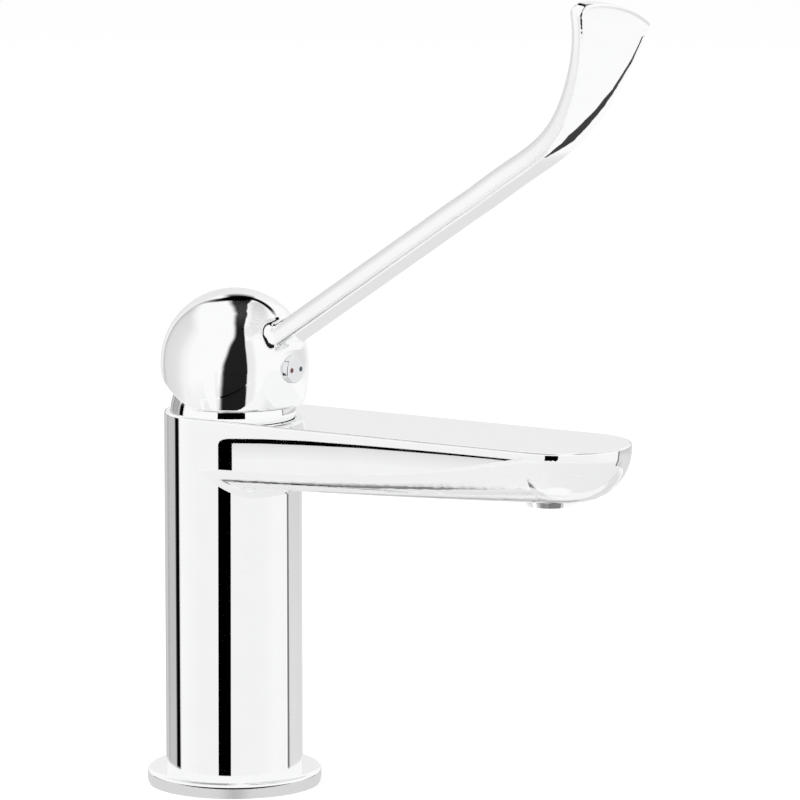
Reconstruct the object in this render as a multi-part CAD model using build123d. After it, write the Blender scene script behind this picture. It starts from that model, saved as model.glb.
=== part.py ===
from build123d import *
import math
import os

# Basin tap with a long lever, in millimetres. +Z is up, the spout points along +X, and the
# origin is the centre of the underside, where the tap stands on the basin.

# Column and base plate
body_radius = 23.0
body_height = 126.5
body_edge = 0.8
plate_radius = 29.3
plate_height = 5.2
plate_edge = 1.4
spigot_radius = 20.0
fixed_gap = 0.25
gasket_width = 4.0
gasket_depth = 1.6

# Spout
spout_reach = 127.0
spout_root_height = 23.1
spout_end_height = 18.7
corner_root = 6.5
corner_end = 17.0
corner_growth = 2.6
spout_stations = 7
root_fillet = 4.0

# Waterways and threaded holes in the body
inlet_x = 4.0
inlet_y = 9.5
inlet_thread_radius = 4.46
inlet_thread_depth = 14.0
waterway_radius = 3.3
stud_x = -11.0
stud_thread_radius = 3.32
stud_thread_depth = 16.0
channel_width = 20.0
channel_height = 7.0
channel_root_floor = 3.0
channel_end_floor = 3.3

# Cartridge seat and clamp nut
cartridge_radius = 17.5
chamber_radius = 20.0
chamber_height = 14.5
nut_radius = 19.0
nut_thread_height = 5.5
nut_head_height = 2.9
nut_head_radius = 18.2
nut_slots = 6
nut_slot_width = 3.2
nut_slot_depth = 1.5

# Cartridge
base_lift = 0.5
base_flange_height = 2.0
base_height = 6.0
disc_height = 4.0
fixed_disc_radius = 13.5
moving_disc_radius = 11.0
moving_disc_height = 3.0
carrier_radius = 11.5
carrier_height = 7.0
carrier_flat = 9.5
port_radius = 3.0
port_x = 4.0
port_y = 8.0
outlet_x = -6.5
outlet_radius = 3.4
mixing_depth = 1.8
mixing_radius = 8.6
shell_wall = 2.3
shell_roof = 1.4
neck_radius = 14.4
neck_wall = 2.1
neck_height = 9.0
rotor_gap = 0.3
rotor_flange_radius = 14.6
rotor_flange_height = 2.0
tongue_length = 10.0
seal_section = 1.5
port_seal_width = 1.0
port_seal_height = 1.6
outlet_window = 8.0

# Stem and pivot
pivot_drop = 2.0
stem_width = 8.0
stem_corner = 1.3
stem_neck_radius = 2.4
stem_ball_radius = 3.2
ball_drop = 9.0
stem_shoulder_drop = 5.0
stem_rise = 27.5
pin_radius = 1.6
pin_clearance = 0.04
fit_clearance = 0.04
slide_gap = 0.3
tilt_range = 25.0
disc_travel = 4.0

# Cover collar
collar_radius = 21.2
collar_wall = 1.4
collar_opening_radius = 15.1
collar_bore_radius = 14.4
collar_ring_height = 1.4

# Handle cap
cap_radius = 24.8
cap_forward = 0.9
cap_rise = 18.3
skirt_curve = 57.0
rim_drop = 13.8
rim_break_x = 1.0
rim_rise_angle = 27.5
rim_bend = 10.0
rim_fillet = 1.2
socket_gap = 0.4
boss_radius = 6.1
boss_front = 12.2
boss_lift = 13.0
lever_turn = -6.3

# Grub screw and index plug
screw_drop = 0.3
screw_radius = 2.6
screw_length = 7.5
screw_hex_radius = 1.5
screw_hex_depth = 2.6
plug_radius = 4.6
plug_height = 3.0
plug_seat_x = 24.5
plug_edge = 0.6
plug_stub_length = 4.0
mark_radius = 0.85
mark_spacing = 4.65
mark_depth = 0.4

# Lever arm and paddle
arm_start_x = 12.0
arm_ref_x = 30.0
arm_ref_rise = 15.3
arm_slope = 32.6
arm_straight = 116.8
bend_radius = 53.0
bend_angle = 25.1
paddle_radius = 85.5
paddle_length = 35.1
flare_lead = 6.0
flare_growth = 1.75
arm_width = 15.8
arm_thickness = 7.0
arm_top_corner = 3.2
arm_low_corner = 1.8
arm_stations = 15
paddle_width = 42.0
paddle_thickness = 5.0
paddle_corner = 1.8
paddle_overrun = 6.0
end_radius = 70.0
end_lean = 12.1
end_corner = 6.0
end_rounding = 1.4
arm_root_fillet = 4.0

# Aerator
aerator_setback = 4.0
aerator_radius = 9.1
aerator_bore_gap = 0.15
aerator_wall = 1.5
aerator_lip_radius = 8.1
aerator_drop = 2.0
aerator_height = 8.0
aerator_washer_height = 1.4
insert_gap = 0.1
insert_height = 5.0
insert_plate = 1.6
insert_hole_radius = 0.85
insert_hole_pitch = 2.9
insert_rings = 2

# Levels and radii that follow from the sizes above
bore_radius = cartridge_radius + fixed_gap
spout_root_bottom = body_height - spout_root_height
spout_end_bottom = body_height - spout_end_height
aerator_x = spout_reach - aerator_setback
nut_seat_height = body_height - nut_thread_height
shell_inner_top = nut_seat_height - shell_roof
rotor_bottom = shell_inner_top - rotor_gap - rotor_flange_height
carrier_top = rotor_bottom - rotor_gap
carrier_bottom = carrier_top - carrier_height
moving_disc_bottom = carrier_bottom - moving_disc_height
base_top = moving_disc_bottom - disc_height
base_bottom = base_top - base_height
base_shell_bottom = base_bottom + base_flange_height
seat_height = base_bottom - base_lift
neck_top = nut_seat_height + neck_height
rotor_radius = neck_radius - neck_wall - rotor_gap
rotor_top = neck_top - rotor_gap
shell_bore = cartridge_radius - shell_wall
pivot_height = body_height - pivot_drop
cap_centre_height = pivot_height + cap_rise
rim_height = cap_centre_height - rim_drop
screw_height = cap_centre_height - screw_drop
arm_ref_height = cap_centre_height + arm_ref_rise
ball_height = pivot_height - ball_drop
stem_top = pivot_height + stem_rise
socket_radius = collar_radius + socket_gap
disc_offset = -disc_travel / 2

BOTTOM = (Align.CENTER, Align.CENTER, Align.MIN)


def rod(radius, low, high, x=0.0, y=0.0):
    """An upright round bar between two heights."""
    return Pos(x, y, low) * Cylinder(radius, high - low, align=BOTTOM)


def ring(outer, inner, low, high, x=0.0, y=0.0):
    """An upright round tube between two heights."""
    return rod(outer, low, high, x, y) - rod(inner, low, high, x, y)


def cross_bar(radius, x_start, x_end, height):
    """A round bar that lies along X."""
    return Pos(x_start, 0, height) * Rot(0, 90, 0) * Cylinder(radius, x_end - x_start, align=BOTTOM)


def block(x_low, x_high, width, low, high):
    """A rectangular block, centred on the middle plane."""
    size_x = x_high - x_low
    return Pos((x_low + x_high) / 2, 0, low) * Box(size_x, width, high - low, align=BOTTOM)


def turned(part):
    """The part as it stands with the lever, turned a little from the spout."""
    return Rot(0, 0, lever_turn) * part


def spout_section(x):
    """The spout's cross-section at a distance from the column's axis."""
    share = x / spout_reach
    height = spout_root_height + (spout_end_height - spout_root_height) * share
    corner = corner_root + (corner_end - corner_root) * share ** corner_growth
    plane = Plane(origin=(x, 0, body_height - height / 2), x_dir=(0, 1, 0), z_dir=(1, 0, 0))
    outline = Rectangle(2 * body_radius, height)
    outline = fillet(outline.vertices().group_by(Axis.Y)[0], corner)
    return plane * outline


def spout_tip():
    """The round end of the spout: its last cross-section turned through half a circle."""
    bow_start = body_radius - corner_end
    with BuildLine(Plane.XZ) as outline:
        Polyline(
            (0, body_height),
            (0, spout_end_bottom),
            (bow_start, spout_end_bottom),
        )
        RadiusArc(
            (bow_start, spout_end_bottom),
            (body_radius, spout_end_bottom + corner_end),
            -corner_end,
        )
        Polyline(
            (body_radius, spout_end_bottom + corner_end),
            (body_radius, body_height),
            (0, body_height),
        )
    half = revolve(make_face(outline.line), axis=Axis.Z, revolution_arc=180)
    return Pos(spout_reach, 0, 0) * Rot(0, 0, -90) * half


def water_channel():
    """The waterway along the spout, from the cartridge chamber to the aerator."""
    root_low = spout_root_bottom + channel_root_floor
    end_low = spout_end_bottom + channel_end_floor
    side = Plane.XZ * make_face(
        Polyline(
            (cartridge_radius, root_low),
            (spout_reach, end_low),
            (spout_reach, end_low + channel_height),
            (cartridge_radius, root_low + channel_height),
            close=True,
        )
    )
    return extrude(side, channel_width / 2, both=True)


def make_body():
    """The column and spout in one casting, with its waterways and the cartridge's seat."""
    column = rod(body_radius, plate_height, body_height)
    sections = [spout_section(spout_reach * step / (spout_stations - 1)) for step in range(spout_stations)]
    spout = loft(sections) + spout_tip()
    body = column + spout
    seam = new_edges(column, spout, combined=body)
    body = fillet([edge for edge in seam if edge.center().Z < nut_seat_height], root_fillet)
    body = fillet(body.edges().group_by(Axis.Z)[-1], body_edge)
    body += rod(spigot_radius, 0, plate_height)
    body -= rod(bore_radius, seat_height, body_height)
    body -= rod(chamber_radius, base_shell_bottom, base_shell_bottom + chamber_height)
    body -= rod(nut_radius, nut_seat_height, body_height)
    for side in (-1, 1):
        body -= rod(inlet_thread_radius, 0, inlet_thread_depth, inlet_x, side * inlet_y)
        body -= rod(waterway_radius, inlet_thread_depth, seat_height, inlet_x, side * inlet_y)
    body -= rod(stud_thread_radius, 0, stud_thread_depth, stud_x)
    body -= water_channel()
    aerator_top = spout_end_bottom - aerator_drop + aerator_height + aerator_washer_height
    body -= rod(aerator_radius + aerator_bore_gap, spout_end_bottom - aerator_drop, aerator_top, aerator_x)
    return body


def make_base_plate():
    """The ring round the column's foot, with a groove for the gasket below."""
    plate = rod(plate_radius, 0, plate_height)
    plate = fillet(plate.edges().group_by(Axis.Z)[-1], plate_edge)
    plate -= rod(spigot_radius + fixed_gap, 0, plate_height)
    groove_outer = plate_radius - gasket_width / 2
    plate -= ring(groove_outer, groove_outer - gasket_width, 0, gasket_depth)
    return plate


def make_base_gasket():
    """The rubber ring in the plate's groove."""
    groove_outer = plate_radius - gasket_width / 2
    outer = groove_outer - fixed_gap
    return ring(outer, groove_outer - gasket_width + fixed_gap, 0, gasket_depth)


def make_clamp_nut():
    """The ring nut that holds the cartridge on its seat."""
    head_top = body_height + nut_head_height
    nut = rod(nut_radius - fixed_gap, nut_seat_height, body_height)
    nut += rod(nut_head_radius, body_height, head_top)
    nut -= rod(neck_radius + fixed_gap, nut_seat_height, head_top)
    slot_low = head_top - nut_slot_depth
    slot = block(neck_radius, nut_radius, nut_slot_width, slot_low, head_top)
    for index in range(nut_slots):
        nut -= Rot(0, 0, index * 360 / nut_slots) * slot
    return nut


def make_cartridge_housing():
    """The cartridge's outer shell, open below, with a neck for the stem carrier."""
    shell = rod(cartridge_radius, base_shell_bottom, nut_seat_height)
    shell -= rod(shell_bore, base_shell_bottom, shell_inner_top)
    shell += rod(neck_radius, nut_seat_height, neck_top)
    shell -= rod(neck_radius - neck_wall, shell_inner_top, neck_top)
    window_top = base_top - shell_roof
    shell -= block(-nut_radius, -shell_bore + shell_wall, outlet_window, base_shell_bottom, window_top)
    groove_low = shell_inner_top - seal_section
    groove_radius = cartridge_radius - seal_section + fixed_gap
    return shell - ring(cartridge_radius, groove_radius, groove_low, shell_inner_top)


def make_housing_seal():
    """The ring round the shell that closes the water space below it."""
    groove_radius = cartridge_radius - seal_section + fixed_gap
    return ring(bore_radius, groove_radius, shell_inner_top - seal_section, shell_inner_top)


def make_cartridge_base():
    """The cartridge's foot, with two inlet ports and an outlet to its side."""
    foot = rod(cartridge_radius - fixed_gap, base_bottom, base_shell_bottom)
    foot += rod(shell_bore - fixed_gap, base_shell_bottom, base_top)
    for side in (-1, 1):
        foot -= rod(port_radius, base_bottom, base_top, port_x, side * port_y)
        pocket_radius = port_radius + port_seal_width + fixed_gap
        pocket_top = seat_height + port_seal_height
        foot -= rod(pocket_radius, base_bottom, pocket_top, port_x, side * port_y)
    foot -= rod(outlet_radius, base_shell_bottom, base_top, outlet_x)
    side_width = outlet_window - 2 * shell_roof
    return foot - block(-nut_radius, outlet_x, side_width, base_shell_bottom, base_top - shell_roof)


def make_inlet_seals():
    """The two rings between the ports and the seat."""
    top = seat_height + port_seal_height
    outer = port_radius + port_seal_width
    seals = [ring(outer, port_radius, seat_height, top, port_x, side * port_y) for side in (-1, 1)]
    return Compound(children=seals)


def make_fixed_disc():
    """The lower ceramic disc, with its two inlet ports and its outlet port."""
    disc = rod(fixed_disc_radius, base_top, moving_disc_bottom)
    for side in (-1, 1):
        disc -= rod(port_radius, base_top, moving_disc_bottom, port_x, side * port_y)
    return disc - rod(outlet_radius, base_top, moving_disc_bottom, outlet_x)


def make_moving_disc():
    """The upper ceramic disc, with the mixing hollow in its underside."""
    disc = rod(moving_disc_radius, moving_disc_bottom, carrier_bottom, disc_offset)
    hollow_top = moving_disc_bottom + mixing_depth
    hollow = rod(mixing_radius, moving_disc_bottom, hollow_top, disc_offset)
    hollow -= block(port_x - port_radius, body_radius, body_radius, moving_disc_bottom, hollow_top)
    return turned(disc - hollow)


def make_disc_carrier():
    """The slide that carries the moving disc, with the socket for the stem's ball."""
    carrier = rod(carrier_radius, carrier_bottom, carrier_top, disc_offset)
    carrier &= block(-body_radius, body_radius, 2 * carrier_flat, carrier_bottom, carrier_top)
    socket_low = ball_height - stem_ball_radius - slide_gap
    carrier -= rod(stem_ball_radius + slide_gap, socket_low, carrier_top)
    return turned(carrier)


def make_rotor():
    """The stem carrier: it turns in the shell's neck and guides the disc's slide."""
    flange_top = rotor_bottom + rotor_flange_height
    rotor = rod(rotor_flange_radius, rotor_bottom, flange_top) + rod(rotor_radius, flange_top, rotor_top)
    tongue_low = moving_disc_bottom + moving_disc_height + rotor_gap
    guide = rod(rotor_flange_radius, tongue_low, rotor_bottom)
    guide -= block(-body_radius, body_radius, 2 * (carrier_flat + slide_gap), tongue_low, rotor_bottom)
    guide &= block(-tongue_length / 2, tongue_length / 2, 2 * body_radius, tongue_low, rotor_bottom)
    rotor += guide
    lean = math.tan(math.radians(tilt_range))
    half_stem = stem_width / 2 / math.cos(math.radians(tilt_range))
    slot_back = half_stem + (rotor_top - pivot_height) * lean + slide_gap
    slot_front = half_stem + (pivot_height - rotor_bottom) * lean + slide_gap
    rotor -= block(-slot_back, slot_front, stem_width + 2 * slide_gap, rotor_bottom, rotor_top)
    return turned(rotor - pivot_bar(pin_radius + pin_clearance / 2))


def pivot_bar(radius):
    """A round bar along the pivot, as long as the rotor is wide."""
    bar = Cylinder(radius, 2 * (rotor_radius - rotor_gap))
    return Pos(0, 0, pivot_height) * Rot(90, 0, 0) * bar


def make_pivot_pin():
    """The pin that the stem tilts on."""
    return turned(pivot_bar(pin_radius))


def make_stem():
    """The lever's stem: square above, a ball below the pivot."""
    shoulder = pivot_height - stem_shoulder_drop
    width = stem_width - 2 * fit_clearance
    square = block(-width / 2, width / 2, width, shoulder, stem_top)
    square = fillet(square.edges().filter_by(Axis.Z), stem_corner)
    neck = rod(stem_neck_radius, ball_height, shoulder)
    ball = Pos(0, 0, ball_height) * Sphere(stem_ball_radius)
    pin_hole = Rot(90, 0, 0) * Cylinder(pin_radius + pin_clearance, 2 * body_radius)
    return turned(square + neck + ball - Pos(0, 0, pivot_height) * pin_hole)


def ball_zone(radius, low, high):
    """The slice of a ball round the pivot between two heights."""
    ball = Pos(0, 0, pivot_height) * Sphere(radius)
    return ball & rod(2 * radius, low, high)


def make_collar():
    """The ball-shaped cover over the nut, which the cap slides over as it tilts."""
    opening_rise = math.sqrt(collar_radius ** 2 - collar_opening_radius ** 2)
    top = pivot_height + opening_rise
    inside = ball_zone(collar_radius - collar_wall, body_height, top)
    return ball_zone(collar_radius, body_height, top) - inside - rod(collar_bore_radius, body_height, top)


def make_collar_ring():
    """The ring that grips the collar on the nut."""
    low = body_height + (nut_head_height - collar_ring_height) / 4
    top = low + collar_ring_height
    inside = collar_radius - collar_wall
    outer = math.sqrt(inside ** 2 - (top - pivot_height) ** 2) - fixed_gap
    return ring(outer, nut_head_radius + fixed_gap / 2, low, top)


def rim_cutter():
    """What lies below the cap's rim, which is level in front and rises behind."""
    reach = 2 * cap_radius
    rise = (reach + rim_break_x) * math.tan(math.radians(rim_rise_angle))
    outline = make_face(
        Polyline(
            (-reach, rim_height + rise),
            (rim_break_x, rim_height),
            (reach, rim_height),
            (reach, body_height - reach),
            (-reach, body_height - reach),
            close=True,
        )
    )
    bend = outline.vertices().sort_by_distance((rim_break_x, rim_height))[0]
    return extrude(Plane.XZ * fillet(bend, rim_bend), reach, both=True)


def cap_shell():
    """The cap's outside: a ball above, drawn in slightly below its middle."""
    skirt_drop = cap_centre_height - rim_height
    skirt_in = skirt_curve - math.sqrt(skirt_curve ** 2 - skirt_drop ** 2)
    skirt_mid_drop = skirt_drop / 2
    skirt_mid_in = skirt_curve - math.sqrt(skirt_curve ** 2 - skirt_mid_drop ** 2)
    ball = Pos(0, 0, cap_centre_height) * Rot(0, 90 - arm_slope, 0) * Sphere(cap_radius)
    dome = ball & rod(2 * cap_radius, cap_centre_height, cap_centre_height + cap_radius)
    with BuildLine(Plane.XZ) as outline:
        Polyline(
            (cap_radius, cap_centre_height),
            (0, cap_centre_height),
            (0, rim_height),
            (cap_radius - skirt_in, rim_height),
        )
        ThreePointArc(
            (cap_radius - skirt_in, rim_height),
            (cap_radius - skirt_mid_in, cap_centre_height - skirt_mid_drop),
            (cap_radius, cap_centre_height),
        )
    whole = dome + revolve(make_face(outline.line), axis=Axis.Z)
    cap = whole - rim_cutter()
    low_edges = cap.edges().filter_by(lambda edge: edge.center().Z < cap_centre_height - rim_fillet)
    cap = fillet([edge for edge in low_edges if edge.geom_type != GeomType.LINE], rim_fillet)
    return Pos(cap_forward, 0, 0) * cap


def arm_point(distance):
    """The arm's centre line at a distance from its reference point: x, height and slope."""
    slope = math.radians(arm_slope)
    straight = min(distance, arm_straight)
    x = arm_ref_x + straight * math.cos(slope)
    height = arm_ref_height + straight * math.sin(slope)
    rest = max(distance - arm_straight, 0.0)
    bend_length = bend_radius * math.radians(bend_angle)
    for radius, length in ((bend_radius, bend_length), (paddle_radius, paddle_length + paddle_overrun)):
        turn = min(rest, length) / radius
        x += radius * (math.sin(slope + turn) - math.sin(slope))
        height += radius * (math.cos(slope) - math.cos(slope + turn))
        slope += turn
        rest = max(rest - length, 0.0)
    return x, height, slope


def arm_length():
    """The length of the arm's centre line from its reference point to the paddle's end."""
    return arm_straight + bend_radius * math.radians(bend_angle) + paddle_length


def arm_section(distance):
    """The arm's cross-section: flat below, with softer edges on top, wider at the paddle."""
    x, height, slope = arm_point(distance)
    flare_start = arm_straight - flare_lead
    share = max(distance - flare_start, 0.0) / (arm_length() - flare_start)
    width = arm_width + (paddle_width - arm_width) * share ** flare_growth
    thickness = arm_thickness + (paddle_thickness - arm_thickness) * share
    top_corner = arm_top_corner + (paddle_corner - arm_top_corner) * share
    low_corner = arm_low_corner + (paddle_corner - arm_low_corner) * share
    outline = Rectangle(width, thickness)
    outline = fillet(outline.vertices().group_by(Axis.Y)[-1], top_corner)
    outline = fillet(outline.vertices().group_by(Axis.Y)[0], low_corner)
    direction = (math.cos(slope), 0, math.sin(slope))
    return Plane(origin=(x, 0, height), x_dir=(0, 1, 0), z_dir=direction) * outline


def paddle_end_cutter():
    """What the paddle's end is trimmed with: a shallow arch, with a round corner on the near side."""
    x, height, slope = arm_point(arm_length())
    face_plane = Plane(origin=(x, 0, height), x_dir=(0, 1, 0), z_dir=(math.sin(slope), 0, -math.cos(slope)))
    lean = math.radians(end_lean)
    past = 2 * paddle_width
    arch = Pos(-end_radius * math.sin(lean), -end_radius * math.cos(lean)) * Circle(end_radius)
    arch &= Pos((past - paddle_width) / 2, 0) * Rectangle(past, past)
    corner = arch.vertices().sort_by_distance((-paddle_width / 2, 0))[0]
    arch = fillet(corner, end_corner)
    return extrude(face_plane * (Rectangle(past, past) - arch), paddle_width, both=True)


def make_arm():
    """The long arm and its paddle."""
    root = (arm_start_x - arm_ref_x) / math.cos(math.radians(arm_slope))
    spacing = (arm_length() + paddle_overrun - root) / (arm_stations - 1)
    sections = [arm_section(root + spacing * station) for station in range(arm_stations)]
    arm = loft(sections) - paddle_end_cutter()
    end_edges = arm.faces().filter_by(GeomType.CYLINDER).edges()
    return fillet(end_edges.filter_by(GeomType.BSPLINE), end_rounding)


def make_handle():
    """The lever: cap, arm and paddle in one casting, with the socket for the collar."""
    cap = cap_shell()
    arm = make_arm()
    handle = cap + arm
    handle = fillet(new_edges(cap, arm, combined=handle), arm_root_fillet)
    boss_low = pivot_height + boss_lift
    boss = rod(boss_radius, boss_low, cap_centre_height + cap_radius / 2)
    boss += block(0, boss_front, 2 * boss_radius, boss_low, cap_centre_height + cap_radius / 2)
    socket = Pos(0, 0, pivot_height) * Sphere(socket_radius)
    handle -= socket - boss
    hole = block(-stem_width / 2, stem_width / 2, stem_width, boss_low, stem_top)
    hole = fillet(hole.edges().filter_by(Axis.Z), stem_corner)
    handle -= hole
    handle -= cross_bar(screw_radius + pin_clearance, 0, plug_seat_x, screw_height)
    handle -= cross_bar(plug_radius + pin_clearance, plug_seat_x, plug_seat_x + plug_height, screw_height)
    return turned(handle)


def make_grub_screw():
    """The screw that clamps the lever to the stem."""
    start = stem_width / 2
    end = start + screw_length
    screw = cross_bar(screw_radius, start, end, screw_height)
    key = extrude(RegularPolygon(screw_hex_radius, 6), screw_hex_depth)
    screw -= Pos(end - screw_hex_depth, 0, screw_height) * Rot(0, 90, 0) * key
    return turned(screw)


def mark_centre(side):
    """Where a mark is let into the plug."""
    return Pos(plug_seat_x + plug_height - mark_depth, side * mark_spacing / 2, screw_height)


def make_index_plug():
    """The round plug over the screw, with two small pockets for the marks."""
    head = cross_bar(plug_radius, plug_seat_x, plug_seat_x + plug_height, screw_height)
    head = fillet(head.edges().group_by(Axis.X)[-1], plug_edge)
    plug = head + cross_bar(screw_radius, plug_seat_x - plug_stub_length, plug_seat_x, screw_height)
    for side in (-1, 1):
        plug -= mark_centre(side) * Rot(0, 90, 0) * Cylinder(mark_radius, mark_depth, align=BOTTOM)
    return turned(plug)


def make_mark(side):
    """The hot or the cold mark."""
    return turned(mark_centre(side) * Rot(0, 90, 0) * Cylinder(mark_radius, mark_depth, align=BOTTOM))


def make_aerator_housing():
    """The threaded ring that holds the aerator, drawn in where it shows below the spout."""
    low = spout_end_bottom - aerator_drop
    top = low + aerator_height
    inner = aerator_radius - aerator_wall
    lip = Pos(aerator_x, 0, low) * Cone(aerator_lip_radius, aerator_radius, aerator_drop, align=BOTTOM)
    housing = lip + rod(aerator_radius, spout_end_bottom, top, aerator_x)
    ledge = low + aerator_height - insert_height
    housing -= rod(inner, ledge, top, aerator_x)
    return housing - rod(inner - aerator_wall / 2, low, ledge, aerator_x)


def make_aerator_insert():
    """The cup with the grid that breaks up the water."""
    low = spout_end_bottom - aerator_drop + aerator_height - insert_height
    outer = aerator_radius - aerator_wall - insert_gap
    insert = rod(outer, low, low + insert_height, aerator_x)
    insert -= rod(outer - aerator_wall / 2, low + insert_plate, low + insert_height, aerator_x)
    insert -= rod(insert_hole_radius, low, low + insert_plate, aerator_x)
    for circle in range(1, insert_rings + 1):
        count = 6 * circle
        for index in range(count):
            angle = 2 * math.pi * index / count
            x = aerator_x + circle * insert_hole_pitch * math.cos(angle)
            y = circle * insert_hole_pitch * math.sin(angle)
            insert -= rod(insert_hole_radius, low, low + insert_plate, x, y)
    return insert


def make_aerator_washer():
    """The rubber washer above the aerator."""
    low = spout_end_bottom - aerator_drop + aerator_height
    inner = aerator_radius - 2 * aerator_wall
    return ring(aerator_radius, inner, low, low + aerator_washer_height, aerator_x)


parts = {
    "body": make_body(),
    "base_plate": make_base_plate(),
    "base_gasket": make_base_gasket(),
    "clamp_nut": make_clamp_nut(),
    "cartridge_housing": make_cartridge_housing(),
    "housing_seal": make_housing_seal(),
    "cartridge_base": make_cartridge_base(),
    "inlet_seals": make_inlet_seals(),
    "fixed_disc": make_fixed_disc(),
    "moving_disc": make_moving_disc(),
    "disc_carrier": make_disc_carrier(),
    "rotor": make_rotor(),
    "pivot_pin": make_pivot_pin(),
    "stem": make_stem(),
    "collar": make_collar(),
    "collar_ring": make_collar_ring(),
    "handle": make_handle(),
    "grub_screw": make_grub_screw(),
    "index_plug": make_index_plug(),
    "hot_mark": make_mark(-1),
    "cold_mark": make_mark(1),
    "aerator_housing": make_aerator_housing(),
    "aerator_insert": make_aerator_insert(),
    "aerator_washer": make_aerator_washer(),
}

os.makedirs("parts", exist_ok=True)
for name, part in parts.items():
    export_step(part, "parts/" + name + ".step")
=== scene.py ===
import math

import bpy
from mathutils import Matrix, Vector

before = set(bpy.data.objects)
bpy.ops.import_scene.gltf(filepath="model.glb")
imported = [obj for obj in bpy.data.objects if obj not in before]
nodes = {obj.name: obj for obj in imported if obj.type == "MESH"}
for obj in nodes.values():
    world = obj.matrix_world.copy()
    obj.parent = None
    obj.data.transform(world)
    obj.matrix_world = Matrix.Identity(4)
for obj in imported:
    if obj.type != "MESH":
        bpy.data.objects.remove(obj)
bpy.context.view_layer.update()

# The single-lever basin tap in its studio, in metres. +Z is up and the spout points along +X.

scene = bpy.context.scene

# Camera, at the photograph's viewing angle
CAMERA_PLACE = (1.0030, -1.4947, 0.4110)
CAMERA_TILT = math.radians(90 - 8.8855)
CAMERA_TURN = math.radians(32.086)
CAMERA_LENS = 245.3

# Light level
WHITE = (1.0, 1.0, 1.0, 1.0)
WORLD_LIGHT = 0.72
LAMP_SIZE = 1.0
KEY_PLACE = (-0.9, -1.2, 1.5)
KEY_POWER = 14.0
FILL_PLACE = (1.4, 0.3, 1.2)
FILL_POWER = 6.0

# Floor: half its side, its paint, and the glow that keeps its unshaded part white
FLOOR_REACH = 30.0
FLOOR_PAINT = (0.8, 0.8, 0.8, 1.0)
FLOOR_LIFT = 0.39

# Patterns: the values of a noise that are used, features a metre, and depths in metres
PATTERN_LOW = 0.3
PATTERN_HIGH = 0.7
CHROME = (0.965, 0.967, 0.97)
CHROME_ROUGHNESS = (0.01, 0.03)
HAZE_SCALE = 90.0
HAZE_SHADE = 0.985
WAVE_SCALE = 55.0
WAVE_DEPTH = 0.000004
METAL_TONE_SCALE = 220.0
TOOL_LINE_WANDER = 0.4
TOOL_LINE_DEPTH = 0.00001
GRAINS_PER_TONE = 12
SMOOTH_GRAIN_DEPTH = 0.000002
MOULDED_GRAIN = 5000.0
MOULDED_GRAIN_DEPTH = 0.00001
RUBBER_GRAIN_DEPTH = 0.00002
ENAMEL_COAT = 0.5

# Studio cards: what the chrome mirrors. A nearer card covers a farther one. The step of their
# meshes is in degrees.
CARD_STEP = 1.5
STUDIO_HEIGHT = 0.13
NEAR_RADIUS = 1.0
FRONT_RADIUS = 3.1
STUDIO_RADIUS = 3.2
GAP_BEHIND_RADIUS = 3.25
SHADE_RADIUS = 3.3
BACK_RADIUS = 3.4
COLLAR_RADIUS = 3.5
DECK_RADIUS = 3.55
FAR_RADIUS = 3.6
RIM_RADIUS = 0.0393
RIM_LINE_RADIUS = 0.0391

# The nodes that the cards are made for
LEVER = ("handle", "index_plug", "hot_mark", "cold_mark")
HANDLE = ("handle",)
BODY = ("body",)
COLLAR = ("collar",)
PLATE = ("base_plate",)
AERATOR = ("aerator_housing",)

# Where nodes mirror dark cards, by turn and rise: a card in front of them is dark there too
GAPS = (
    (BODY, (-27, -6), (-17, 8)),
    (BODY, (-180, -101), (-23, 8)),
    (BODY, (99, 180), (-23, 8)),
    (COLLAR, (-28, 22), (-7, 16)),
    (COLLAR, (-180, -100), (-7, 16)),
    (LEVER, (-32, 20), (-44, 16)),
)

# The column's bands, as (turn, cover), and the rise and half width of their two heights
COLUMN_BANDS = {
    "column_line_left": ((-115, 0.8), (-111, 1.0), (-103.5, 0.97)),
    "column_side_left": ((-195, 0.35), (-175, 0.35), (-155, 0.3), (-135, 0.25), (-115, 0.3)),
    "column_line_right": ((101.3, 0.8), (104.8, 0.8)),
    "column_side_right": ((105, 0.26), (120, 0.24), (140, 0.26), (160, 0.26)),
}
BAND_LOW = (-15, 8)
BAND_HIGH = (0.5, 7.5)

# The plate's rim mirrors an even grey with a darker place in front, in degrees
RIM_STEP = 12
RIM_COVER = 0.3
RIM_FRONT_COVER = 0.2
RIM_FRONT_WIDTH = 10

# The card that the spout's flat side mirrors as a long dark line, fitted close beside it: its
# upper and lower edge, in millimetres
SIDE_LINE = (
    ((-14.3, -63.9, 112.9), (-14.3, -63.9, 111.3)),
    ((0.0, -64.1, 114.0), (0.0, -64.1, 112.4)),
    ((17.0, -64.3, 114.8), (17.0, -64.3, 113.3)),
    ((38.7, -64.6, 115.2), (38.7, -64.6, 114.2)),
    ((54.3, -64.8, 115.4), (54.3, -64.8, 114.5)),
    ((75.0, -65.1, 115.5), (75.0, -65.1, 114.8)),
    ((89.0, -65.2, 115.5), (89.0, -65.2, 114.9)),
    ((102.0, -65.4, 115.5), (102.0, -65.4, 114.7)),
)
# The middle of the line stands before the lever's gap card, so it is dark for the lever too
SIDE_OWNERS = (BODY, BODY, LEVER + BODY, LEVER + BODY, LEVER + BODY, BODY, BODY)
# The card for the soft shade mirrored below the line: how far down, and its cover there
SHADE_DROPS = (0.0, 2.0, 5.6)
SHADE_COVERS = (0.18, 0.1, 0.0)


def shader_material(name):
    """A new material: its node tree and its surface shader."""
    material = bpy.data.materials.new(name)
    material.use_nodes = True
    tree = material.node_tree
    return material, tree, tree.nodes["Principled BSDF"]


def object_point(tree):
    """The surface point in the object's own frame."""
    return tree.nodes.new("ShaderNodeTexCoord").outputs["Object"]


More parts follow.
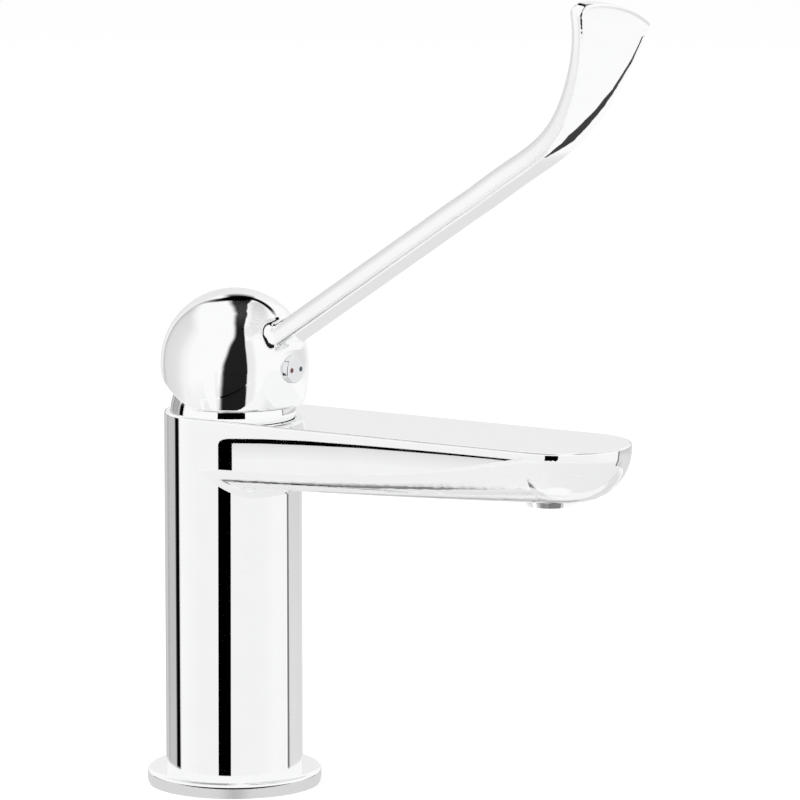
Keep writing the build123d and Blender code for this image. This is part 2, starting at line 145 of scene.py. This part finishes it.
def noise(tree, point, scale, detail=3.0):
    """A noise pattern of that many features a metre."""
    texture = tree.nodes.new("ShaderNodeTexNoise")
    texture.inputs["Scale"].default_value = scale
    texture.inputs["Detail"].default_value = detail
    tree.links.new(point, texture.inputs["Vector"])
    return texture.outputs["Fac"]


def spread(tree, value, low, high):
    """The value of a pattern brought between two limits."""
    limits = tree.nodes.new("ShaderNodeMapRange")
    limits.inputs["From Min"].default_value = PATTERN_LOW
    limits.inputs["From Max"].default_value = PATTERN_HIGH
    limits.inputs["To Min"].default_value = low
    limits.inputs["To Max"].default_value = high
    tree.links.new(value, limits.inputs["Value"])
    return limits.outputs["Result"]


def tint(tree, value, dark, light):
    """A colour between two, by a pattern."""
    ramp = tree.nodes.new("ShaderNodeValToRGB")
    ramp.color_ramp.elements[0].position = PATTERN_LOW
    ramp.color_ramp.elements[1].position = PATTERN_HIGH
    ramp.color_ramp.elements[0].color = (*dark, 1.0)
    ramp.color_ramp.elements[1].color = (*light, 1.0)
    tree.links.new(value, ramp.inputs["Fac"])
    return ramp.outputs["Color"]


def bump(tree, shader, height, distance):
    """Relief from a pattern, of that depth in metres."""
    relief = tree.nodes.new("ShaderNodeBump")
    relief.inputs["Distance"].default_value = distance
    relief.inputs["Strength"].default_value = 1.0
    tree.links.new(height, relief.inputs["Height"])
    tree.links.new(relief.outputs["Normal"], shader.inputs["Normal"])


def chrome(name, colour=CHROME, rough=CHROME_ROUGHNESS):
    """Polished chrome plate: clear, with a trace of polishing haze and waviness."""
    material, tree, shader = shader_material(name)
    shader.inputs["Metallic"].default_value = 1.0
    point = object_point(tree)
    haze = noise(tree, point, HAZE_SCALE)
    darker = tuple(HAZE_SHADE * channel for channel in colour)
    tree.links.new(tint(tree, haze, darker, colour), shader.inputs["Base Color"])
    tree.links.new(spread(tree, haze, *rough), shader.inputs["Roughness"])
    bump(tree, shader, noise(tree, point, WAVE_SCALE, 1.0), WAVE_DEPTH)
    return material


def machined(name, dark, light, rough, pitch):
    """Turned metal with fine tool lines round the upright axis."""
    material, tree, shader = shader_material(name)
    shader.inputs["Metallic"].default_value = 1.0
    point = object_point(tree)
    lines = tree.nodes.new("ShaderNodeTexWave")
    lines.wave_type = "RINGS"
    lines.rings_direction = "Z"
    lines.inputs["Scale"].default_value = pitch
    lines.inputs["Distortion"].default_value = TOOL_LINE_WANDER
    tree.links.new(point, lines.inputs["Vector"])
    tone = noise(tree, point, METAL_TONE_SCALE)
    tree.links.new(tint(tree, tone, dark, light), shader.inputs["Base Color"])
    tree.links.new(spread(tree, lines.outputs["Fac"], *rough), shader.inputs["Roughness"])
    bump(tree, shader, lines.outputs["Fac"], TOOL_LINE_DEPTH)
    return material


def grained(name, dark, light, rough, grain=MOULDED_GRAIN, depth=MOULDED_GRAIN_DEPTH, coat=0.0):
    """A moulded or fired surface with a fine grain."""
    material, tree, shader = shader_material(name)
    shader.inputs["Coat Weight"].default_value = coat
    point = object_point(tree)
    fine = noise(tree, point, grain, 5.0)
    tone = noise(tree, point, grain / GRAINS_PER_TONE)
    tree.links.new(tint(tree, tone, dark, light), shader.inputs["Base Color"])
    tree.links.new(spread(tree, fine, *rough), shader.inputs["Roughness"])
    bump(tree, shader, fine, depth)
    return material


def enamel(name, dark, light):
    """Glossy coloured enamel."""
    return grained(name, dark, light, (0.1, 0.2), 3000.0, SMOOTH_GRAIN_DEPTH, ENAMEL_COAT)


def dress(material, *names):
    """Gives CAD nodes their material."""
    for name in names:
        mesh = nodes[name].data
        mesh.materials.clear()
        mesh.materials.append(material)


dress(chrome("Body chrome"), "body", "base_plate")
dress(chrome("Handle chrome"), "handle")
dress(chrome("Trim chrome"), "collar", "aerator_housing")
dress(chrome("Plug metallizing", (0.86, 0.865, 0.88), (0.05, 0.1)), "index_plug")
dress(
    machined("Turned brass", (0.62, 0.45, 0.2), (0.75, 0.58, 0.3), (0.2, 0.4), 900.0),
    "clamp_nut",
    "stem",
)
dress(
    machined("Stainless steel", (0.5, 0.5, 0.51), (0.62, 0.62, 0.63), (0.2, 0.35), 1200.0),
    "pivot_pin",
    "grub_screw",
)
dress(
    grained(
        "Lapped ceramic",
        (0.86, 0.84, 0.78),
        (0.93, 0.92, 0.88),
        (0.1, 0.2),
        4000.0,
        SMOOTH_GRAIN_DEPTH,
    ),
    "fixed_disc",
    "moving_disc",
)
dress(
    grained("White moulding", (0.76, 0.76, 0.74), (0.84, 0.84, 0.82), (0.35, 0.55)),
    "cartridge_housing",
    "rotor",
)
dress(
    grained("Dark moulding", (0.05, 0.055, 0.06), (0.08, 0.085, 0.09), (0.35, 0.55)),
    "cartridge_base",
    "disc_carrier",
    "collar_ring",
)
dress(
    grained("Grid moulding", (0.68, 0.69, 0.7), (0.78, 0.79, 0.8), (0.3, 0.5)),
    "aerator_insert",
)
dress(
    grained(
        "Seal rubber",
        (0.015, 0.015, 0.016),
        (0.03, 0.03, 0.032),
        (0.55, 0.75),
        6000.0,
        RUBBER_GRAIN_DEPTH,
    ),
    "base_gasket",
    "housing_seal",
    "inlet_seals",
    "aerator_washer",
)
dress(enamel("Red enamel", (0.12, 0.012, 0.014), (0.17, 0.02, 0.022)), "hot_mark")
dress(enamel("Blue enamel", (0.008, 0.045, 0.075), (0.012, 0.065, 0.1)), "cold_mark")


def card_material(name):
    """Card board: shining white, and as dense as the mesh's cover says."""
    material = bpy.data.materials.new(name)
    material.use_nodes = True
    material.cycles.emission_sampling = "NONE"
    tree = material.node_tree
    tree.nodes.clear()
    cover = tree.nodes.new("ShaderNodeAttribute")
    cover.attribute_name = "cover"
    clear = tree.nodes.new("ShaderNodeBsdfTransparent")
    board = tree.nodes.new("ShaderNodeEmission")
    board.inputs["Color"].default_value = WHITE
    board.inputs["Strength"].default_value = 1.0
    mix = tree.nodes.new("ShaderNodeMixShader")
    tree.links.new(cover.outputs["Fac"], mix.inputs["Fac"])
    tree.links.new(clear.outputs["BSDF"], mix.inputs[1])
    tree.links.new(board.outputs["Emission"], mix.inputs[2])
    output = tree.nodes.new("ShaderNodeOutputMaterial")
    tree.links.new(mix.outputs["Shader"], output.inputs["Surface"])
    return material


SHINING_BOARD = card_material("Shining board")


def unlit(dark_for):
    """The collection that keeps a card's light off the named CAD nodes."""
    name = "unlit " + " ".join(dark_for)
    group = bpy.data.collections.get(name)
    if group is None:
        group = bpy.data.collections.new(name)
        for node in dark_for:
            group.objects.link(nodes[node])
        for entry in group.collection_objects:
            entry.light_linking.link_state = "EXCLUDE"
    return group


def set_card(name, dark_for, points, faces, covers):
    """Puts up a card that only mirrors see: dark for the named nodes, white for all others."""
    mesh = bpy.data.meshes.new(name)
    mesh.from_pydata(points, [], faces)
    attribute = mesh.attributes.new("cover", "FLOAT", "POINT")
    for value, cover in zip(attribute.data, covers):
        value.value = cover
    mesh.materials.append(SHINING_BOARD)
    made = bpy.data.objects.new(name, mesh)
    scene.collection.objects.link(made)
    made.visible_camera = False
    made.visible_diffuse = False
    made.visible_shadow = False
    made.visible_transmission = False
    made.light_linking.receiver_collection = unlit(dark_for)


def heading(turn, rise):
    """A direction. Turn 0 is the camera's side and to its right is positive, in degrees."""
    angle = math.atan2(CAMERA_PLACE[1], CAMERA_PLACE[0]) + math.radians(turn)
    level = math.radians(rise)
    across = math.cos(level)
    return Vector((across * math.cos(angle), across * math.sin(angle), math.sin(level)))


def turn_of(direction):
    """The turn of a direction, in degrees, from -180 to 180."""
    camera_side = math.atan2(CAMERA_PLACE[1], CAMERA_PLACE[0])
    turn = math.degrees(math.atan2(direction.y, direction.x) - camera_side)
    return (turn + 180) % 360 - 180


def between(rows, k, part):
    """A place on the smooth line through the rows, part of the way from row k to the next."""
    before = rows[max(k - 1, 0)]
    after = rows[min(k + 2, len(rows) - 1)]
    here, there = rows[k], rows[k + 1]
    values = []
    for a, b, c, d in zip(before, here, there, after):
        slope_in, slope_out = (c - a) / 2, (d - b) / 2
        values.append(
            b
            + part * slope_in
            + part ** 2 * (3 * (c - b) - 2 * slope_in - slope_out)
            + part ** 3 * (2 * (b - c) + slope_in + slope_out)
        )
    return values


def fade(distance, width):
    """From 0 at a soft edge to 1 inside it."""
    if width <= 0.0:
        return 1.0
    part = min(max(distance / width, 0.0), 1.0)
    return part * part * (3 - 2 * part)


def sharers(direction, dark_for):
    """The further nodes that mirror a dark card in that direction."""
    turn = turn_of(direction)
    rise = math.degrees(math.asin(direction.z))
    found = ()
    for names, turns, rises in GAPS:
        inside = turns[0] < turn < turns[1] and rises[0] < rise < rises[1]
        if inside and names[0] not in dark_for:
            found += names
    return found


def level_rows(rise, half, stops):
    """The rows of a card of one rise and half width, from its (turn, cover) stops."""
    return tuple((turn, rise, half, cover) for turn, cover in stops)


def card(name, dark_for, rows, sides=(0.0, 0.0), radius=STUDIO_RADIUS, height=STUDIO_HEIGHT):
    """A curved card along a line over a sphere round the tap.

    A row is (turn, rise, half width, cover), in degrees. Sides are the widths of the soft left
    and right edges. Between the near and the back radius, a card is also dark, face by face, for
    the nodes that mirror a dark card behind it.
    """
    line = []
    for k in range(len(rows) - 1):
        length = math.degrees(heading(*rows[k][:2]).angle(heading(*rows[k + 1][:2])))
        steps = max(1, math.ceil(length / CARD_STEP))
        for step in range(steps):
            turn, rise, half, cover = between(rows, k, step / steps)
            line.append((heading(turn, rise), half, cover))
    line.append((heading(*rows[-1][:2]), *rows[-1][2:]))
    across = max(2, math.ceil(2 * max(half for _, half, _ in line) / CARD_STEP))
    middle_height = Vector((0, 0, height))
    points, covers = [], []
    for k, (centre, half, cover) in enumerate(line):
        along = line[min(k + 1, len(line) - 1)][0] - line[max(k - 1, 0)][0]
        right = along.cross(centre).normalized()
        for i in range(across + 1):
            offset = half * (2 * i / across - 1)
            away = math.radians(offset)
            spot = centre * math.cos(away) + right * math.sin(away)
            points.append(middle_height + radius * spot)
            covers.append(cover * fade(half + offset, sides[0]) * fade(half - offset, sides[1]))
    row = across + 1
    shares = NEAR_RADIUS < radius < BACK_RADIUS
    pieces = {}
    for j in range(len(line) - 1):
        for i in range(across):
            face = (j * row + i, j * row + i + 1, (j + 1) * row + i + 1, (j + 1) * row + i)
            middle = sum((points[k] for k in face), Vector()) / 4 - middle_height
            shared = sharers(middle.normalized(), dark_for) if shares else ()
            pieces.setdefault(dark_for + shared, []).append(face)
    for k, (group, faces) in enumerate(sorted(pieces.items())):
        set_card(f"{name}_{k}", group, points, faces, covers)


def near_card(name, dark_for, rows, covers):
    """A small card near the tap. A row is its points across, in millimetres."""
    points = [Vector(point) / 1000 for row in rows for point in row]
    row = len(rows[0])
    faces = [
        (j * row + i, j * row + i + 1, (j + 1) * row + i + 1, (j + 1) * row + i)
        for j in range(len(rows) - 1)
        for i in range(row - 1)
    ]
    set_card(name, dark_for, points, faces, covers * len(rows))


def seen_directly(tree):
    """1 for camera, mirror and see-through rays, 0 for the rays that light the object."""
    path = tree.nodes.new("ShaderNodeLightPath")
    total = path.outputs["Is Camera Ray"]
    for name in ("Is Glossy Ray", "Is Transmission Ray"):
        either = tree.nodes.new("ShaderNodeMath")
        either.operation = "MAXIMUM"
        tree.links.new(total, either.inputs[0])
        tree.links.new(path.outputs[name], either.inputs[1])
        total = either.outputs["Value"]
    return total


def make_floor():
    """A wide pale floor that takes the object's shadow and is white where nothing shades it."""
    reach = FLOOR_REACH
    corners = [(-reach, -reach, 0), (reach, -reach, 0), (reach, reach, 0), (-reach, reach, 0)]
    mesh = bpy.data.meshes.new("floor")
    mesh.from_pydata(corners, [], [(0, 1, 2, 3)])
    floor = bpy.data.objects.new("floor", mesh)
    floor.visible_glossy = False
    scene.collection.objects.link(floor)
    material = bpy.data.materials.new("Floor")
    material.use_nodes = True
    tree = material.node_tree
    tree.nodes.clear()
    paint = tree.nodes.new("ShaderNodeBsdfDiffuse")
    paint.inputs["Color"].default_value = FLOOR_PAINT
    glow = tree.nodes.new("ShaderNodeEmission")
    glow.inputs["Color"].default_value = WHITE
    both = tree.nodes.new("ShaderNodeAddShader")
    seen = seen_directly(tree)
    lift = tree.nodes.new("ShaderNodeMath")
    lift.operation = "MULTIPLY"
    lift.inputs[1].default_value = FLOOR_LIFT
    tree.links.new(seen, lift.inputs[0])
    tree.links.new(lift.outputs["Value"], glow.inputs["Strength"])
    tree.links.new(paint.outputs["BSDF"], both.inputs[0])
    tree.links.new(glow.outputs["Emission"], both.inputs[1])
    output = tree.nodes.new("ShaderNodeOutputMaterial")
    tree.links.new(both.outputs["Shader"], output.inputs["Surface"])
    mesh.materials.append(material)


def make_world():
    """A white studio that lights the object at a plain level."""
    world = bpy.data.worlds.new("Studio")
    scene.world = world
    world.use_nodes = True
    tree = world.node_tree
    tree.nodes.clear()
    light = tree.nodes.new("ShaderNodeBackground")
    light.inputs["Color"].default_value = WHITE
    light.inputs["Strength"].default_value = WORLD_LIGHT
    white = tree.nodes.new("ShaderNodeBackground")
    white.inputs["Color"].default_value = WHITE
    mix = tree.nodes.new("ShaderNodeMixShader")
    tree.links.new(seen_directly(tree), mix.inputs["Fac"])
    tree.links.new(light.outputs["Background"], mix.inputs[1])
    tree.links.new(white.outputs["Background"], mix.inputs[2])
    output = tree.nodes.new("ShaderNodeOutputWorld")
    tree.links.new(mix.outputs["Shader"], output.inputs["Surface"])


def softbox(name, place, power):
    """A soft lamp aimed at the tap, which the chrome doesn't mirror."""
    lamp = bpy.data.lights.new(name, "AREA")
    lamp.shape = "SQUARE"
    lamp.size = LAMP_SIZE
    lamp.energy = power
    made = bpy.data.objects.new(name, lamp)
    made.location = place
    aim = Vector((0.0, 0.0, STUDIO_HEIGHT)) - Vector(place)
    made.rotation_euler = aim.to_track_quat("-Z", "Y").to_euler()
    made.visible_glossy = False
    scene.collection.objects.link(made)


make_world()
make_floor()
softbox("key", KEY_PLACE, KEY_POWER)
softbox("fill", FILL_PLACE, FILL_POWER)

# What the lever mirrors: the dark gap before it, up over the top and down behind it
card(
    "gap",
    LEVER,
    (
        (-6.5, -44, 20, 0.985),
        (-5.5, -34, 20.5, 0.985),
        (-2.6, -17, 21, 0.985),
        (-0.8, 0, 21, 0.985),
        (1.3, 15, 18, 0.985),
        (3.5, 30, 14.5, 0.985),
        (8, 45, 10, 0.985),
        (11, 60, 8.5, 0.985),
        (18, 72, 9, 0.97),
        (45, 81, 9, 0.95),
        (130, 83, 9, 0.95),
        (168, 72, 10, 0.96),
        (173, 58, 11, 0.98),
        (176, 48, 12, 0.95),
        (178, 38, 12, 0.0),
    ),
    sides=(7, 1.5),
)
# The gap behind the lever, from side to side
card(
    "gap_behind",
    LEVER,
    (
        (-138, -14, 2.5, 0.15),
        (-143, 11, 2.5, 0.3),
        (-150, 34, 3.2, 0.4),
        (-156, 49, 5, 0.9),
        (-165, 55, 6.5, 1.0),
        (-185, 56, 8, 1.0),
        (-200, 47, 6, 1.0),
        (-223, 42, 5, 1.0),
        (-233, 43, 3, 0.4),
    ),
    sides=(3, 3),
    radius=GAP_BEHIND_RADIUS,
)
# Soft greys round the gap
card(
    "shade_left",
    LEVER,
    (
        (-72, 8, 42, 0.0),
        (-87, 8, 42, 0.08),
        (-99, 8, 42, 0.18),
        (-112, 8, 42, 0.23),
        (-125, 8, 40, 0.25),
        (-138, 8, 38, 0.3),
        (-147, 8, 36, 0.42),
    ),
    sides=(15, 15),
    radius=SHADE_RADIUS,
)
card(
    "shade_behind",
    LEVER,
    level_rows(10, 34, ((-147, 0.1), (-170, 0.17), (-190, 0.12), (-205, 0.05))),
    sides=(10, 10),
    radius=SHADE_RADIUS,
)
card(
    "shade_above_right",
    LEVER,
    (
        (24, 50, 12, 0.12),
        (52, 56, 13, 0.17),
        (90, 62, 13, 0.18),
        (120, 60, 13, 0.26),
        (150, 52, 10, 0.32),
    ),
    sides=(8, 8),
    radius=SHADE_RADIUS,
)
card(
    "shade_beside_gap",
    LEVER,
    ((27, -45, 9, 0.14), (27, 0, 9, 0.14), (26, 40, 9, 0.12)),
    sides=(1, 8),
    radius=SHADE_RADIUS,
)
card(
    "shade_right",
    LEVER,
    level_rows(4, 18, ((82, 0.0), (100, 0.12), (116, 0.22), (140, 0.2), (152, 0.1))),
    sides=(6, 8),
    radius=SHADE_RADIUS,
)
card(
    "shade_under_arm",
    LEVER,
    ((151, -33, 8, 0.0), (158, -32, 8, 0.2), (172, -30, 12, 0.2)),
    radius=SHADE_RADIUS,
)
card(
    "arm_corner",
    LEVER,
    (
        (-68, -14, 16, 0.0),
        (-66, -28, 16, 0.09),
        (-60, -48, 18, 0.18),
        (-60, -68, 20, 0.22),
        (-60, -86, 22, 0.25),
    ),
    radius=SHADE_RADIUS,
)

# What the body mirrors: the column's dark gap and its bands. The collar mirrors their upper part.
card(
    "column_gap",
    BODY,
    ((-16.5, -17, 10.2, 1.0), (-16.5, -7, 10.4, 1.0)),
    radius=BACK_RADIUS,
)
card(
    "column_left",
    BODY,
    level_rows(-12, 5, ((-100, 0.02), (-60, 0.07), (-27, 0.07))),
    radius=FRONT_RADIUS,
)
card(
    "column_right",
    BODY,
    level_rows(-12, 5, ((-6, 0.07), (45, 0.07), (75, 0.03), (98, 0.05))),
    radius=FRONT_RADIUS,
)
for name, band in COLUMN_BANDS.items():
    card(name, BODY, level_rows(*BAND_LOW, band), radius=BACK_RADIUS)
    card(name + "_above", BODY + COLLAR, level_rows(*BAND_HIGH, band), radius=BACK_RADIUS)
card(
    "column_gap_above",
    BODY + COLLAR,
    ((-16.5, -7, 10.4, 1.0), (-16.5, 8, 10.4, 1.0)),
    radius=BACK_RADIUS,
)
# Soft greys for the flat tops and the spout's underside
card(
    "deck_above",
    BODY + PLATE,
    level_rows(10, 12, ((160, 0.15), (180, 0.15), (200, 0.15))),
    sides=(4, 4),
    radius=DECK_RADIUS,
)
card(
    "body_below",
    BODY,
    level_rows(-48, 33, ((-95, 0.08), (-50, 0.1), (0, 0.12), (60, 0.13), (120, 0.14))),
    sides=(6, 6),
    radius=FRONT_RADIUS,
)
card(
    "ceiling",
    BODY + PLATE,
    (
        (-90, 30, 40, 0.1),
        (-90, 50, 40, 0.2),
        (-90, 70, 40, 0.28),
        (-90, 89, 40, 0.28),
        (90, 70, 40, 0.28),
        (90, 50, 40, 0.2),
        (90, 30, 40, 0.1),
    ),
    sides=(15, 15),
    radius=FAR_RADIUS,
)
card(
    "behind_below",
    BODY,
    level_rows(-50, 27, ((118, 0.2), (150, 0.25), (180, 0.35), (210, 0.25), (242, 0.2))),
    sides=(6, 6),
    radius=FAR_RADIUS,
)
card(
    "spout_foot",
    BODY,
    (
        (-74, -48, 4, 0.1),
        (-84, -54, 5, 0.5),
        (-100, -60, 7, 1.0),
        (-130, -65, 8, 0.75),
        (-160, -60, 9, 0.65),
        (-182, -48, 9, 0.7),
        (-184, -38, 9, 0.6),
    ),
    sides=(4, 4),
    radius=BACK_RADIUS,
)

# What the trim mirrors
card("collar_gap", COLLAR, ((-3, -8, 25, 1.0), (-3, 16, 25, 1.0)), radius=COLLAR_RADIUS)
card(
    "collar_left",
    COLLAR,
    level_rows(5, 11, ((-180, 0.15), (-150, 0.15), (-120, 0.3))),
    radius=COLLAR_RADIUS,
)
card(
    "collar_line",
    COLLAR,
    level_rows(5, 11, ((-113, 0.9), (-104, 0.9))),
    radius=COLLAR_RADIUS,
)
card(
    "aerator_shade",
    AERATOR,
    ((-90, -60, 50, 0.55), (0, -89, 50, 0.55), (90, -60, 50, 0.45)),
    radius=BACK_RADIUS,
)
rim_stops = [
    (turn, RIM_COVER + RIM_FRONT_COVER * math.exp(-(turn / RIM_FRONT_WIDTH) ** 2))
    for turn in range(-180, 181, RIM_STEP)
]
card("rim", PLATE, level_rows(-1, 5, rim_stops), radius=RIM_RADIUS, height=0.0)
card(
    "rim_line",
    PLATE,
    level_rows(2.3, 0.8, ((-90, 0.9), (-45, 1.0), (0, 1.0), (45, 1.0), (90, 0.9))),
    radius=RIM_LINE_RADIUS,
    height=0.0,
)

# Fitted reflections in the spout's flat side, from small cards close beside it: the column's gap
# runs on and turns into a long line
near_card(
    "side_gap",
    BODY,
    (
        ((-18.2, -63.9, 101.6), (-12.5, -63.9, 101.6)),
        ((-18.2, -63.9, 110.6), (-12.5, -63.9, 110.6)),
        ((-17.6, -63.9, 111.7), (-12.5, -63.9, 111.3)),
        ((-16.4, -63.9, 112.4), (-12.3, -63.9, 111.4)),
        ((-14.3, -63.9, 112.9), (-11.9, -63.9, 111.3)),
    ),
    (1.0, 1.0),
)
side_shade = [[(x, y, z - drop) for drop in SHADE_DROPS] for _, (x, y, z) in SIDE_LINE]
for k, owners in enumerate(SIDE_OWNERS):
    near_card(f"side_line_{k}", owners, SIDE_LINE[k:k + 2], (1.0, 1.0))
    near_card(f"side_shade_{k}", owners, side_shade[k:k + 2], SHADE_COVERS)

# A card fitted close to the paddle, so that the paddle mirrors a dark crescent along its edge
near_card(
    "paddle_reflection_card",
    HANDLE,
    (
        ((124.9, 20.0, 193.0), (124.7, 21.3, 193.1)),
        ((129.3, 20.3, 193.9), (129.0, 23.2, 193.9)),
        ((134.0, 20.2, 194.8), (133.0, 25.0, 194.8)),
        ((139.3, 20.6, 196.1), (138.4, 26.8, 195.9)),
        ((143.9, 20.7, 198.0), (143.2, 27.2, 197.8)),
        ((147.5, 21.7, 199.6), (147.0, 27.2, 199.3)),
        ((154.0, 23.2, 203.3), (153.7, 27.9, 202.9)),
        ((159.7, 25.2, 207.3), (159.6, 28.9, 207.0)),
        ((164.6, 26.5, 211.6), (164.4, 29.7, 211.2)),
        ((171.1, 29.1, 218.5), (171.0, 30.9, 218.3)),
        ((176.4, 31.1, 225.6), (176.4, 32.6, 225.4)),
        ((181.0, 32.9, 233.0), (181.1, 33.9, 232.9)),
        ((185.2, 34.3, 240.9), (185.2, 35.0, 240.8)),
        ((154.2, 46.7, 272.5), (153.9, 47.8, 272.4)),
    ),
    (0.95, 0.95),
)

camera = bpy.data.cameras.new("camera")
camera.lens = CAMERA_LENS
camera_object = bpy.data.objects.new("camera", camera)
camera_object.location = CAMERA_PLACE
camera_object.rotation_euler = (CAMERA_TILT, 0.0, CAMERA_TURN)
scene.collection.objects.link(camera_object)
scene.camera = camera_object

scene.view_settings.view_transform = "Standard"
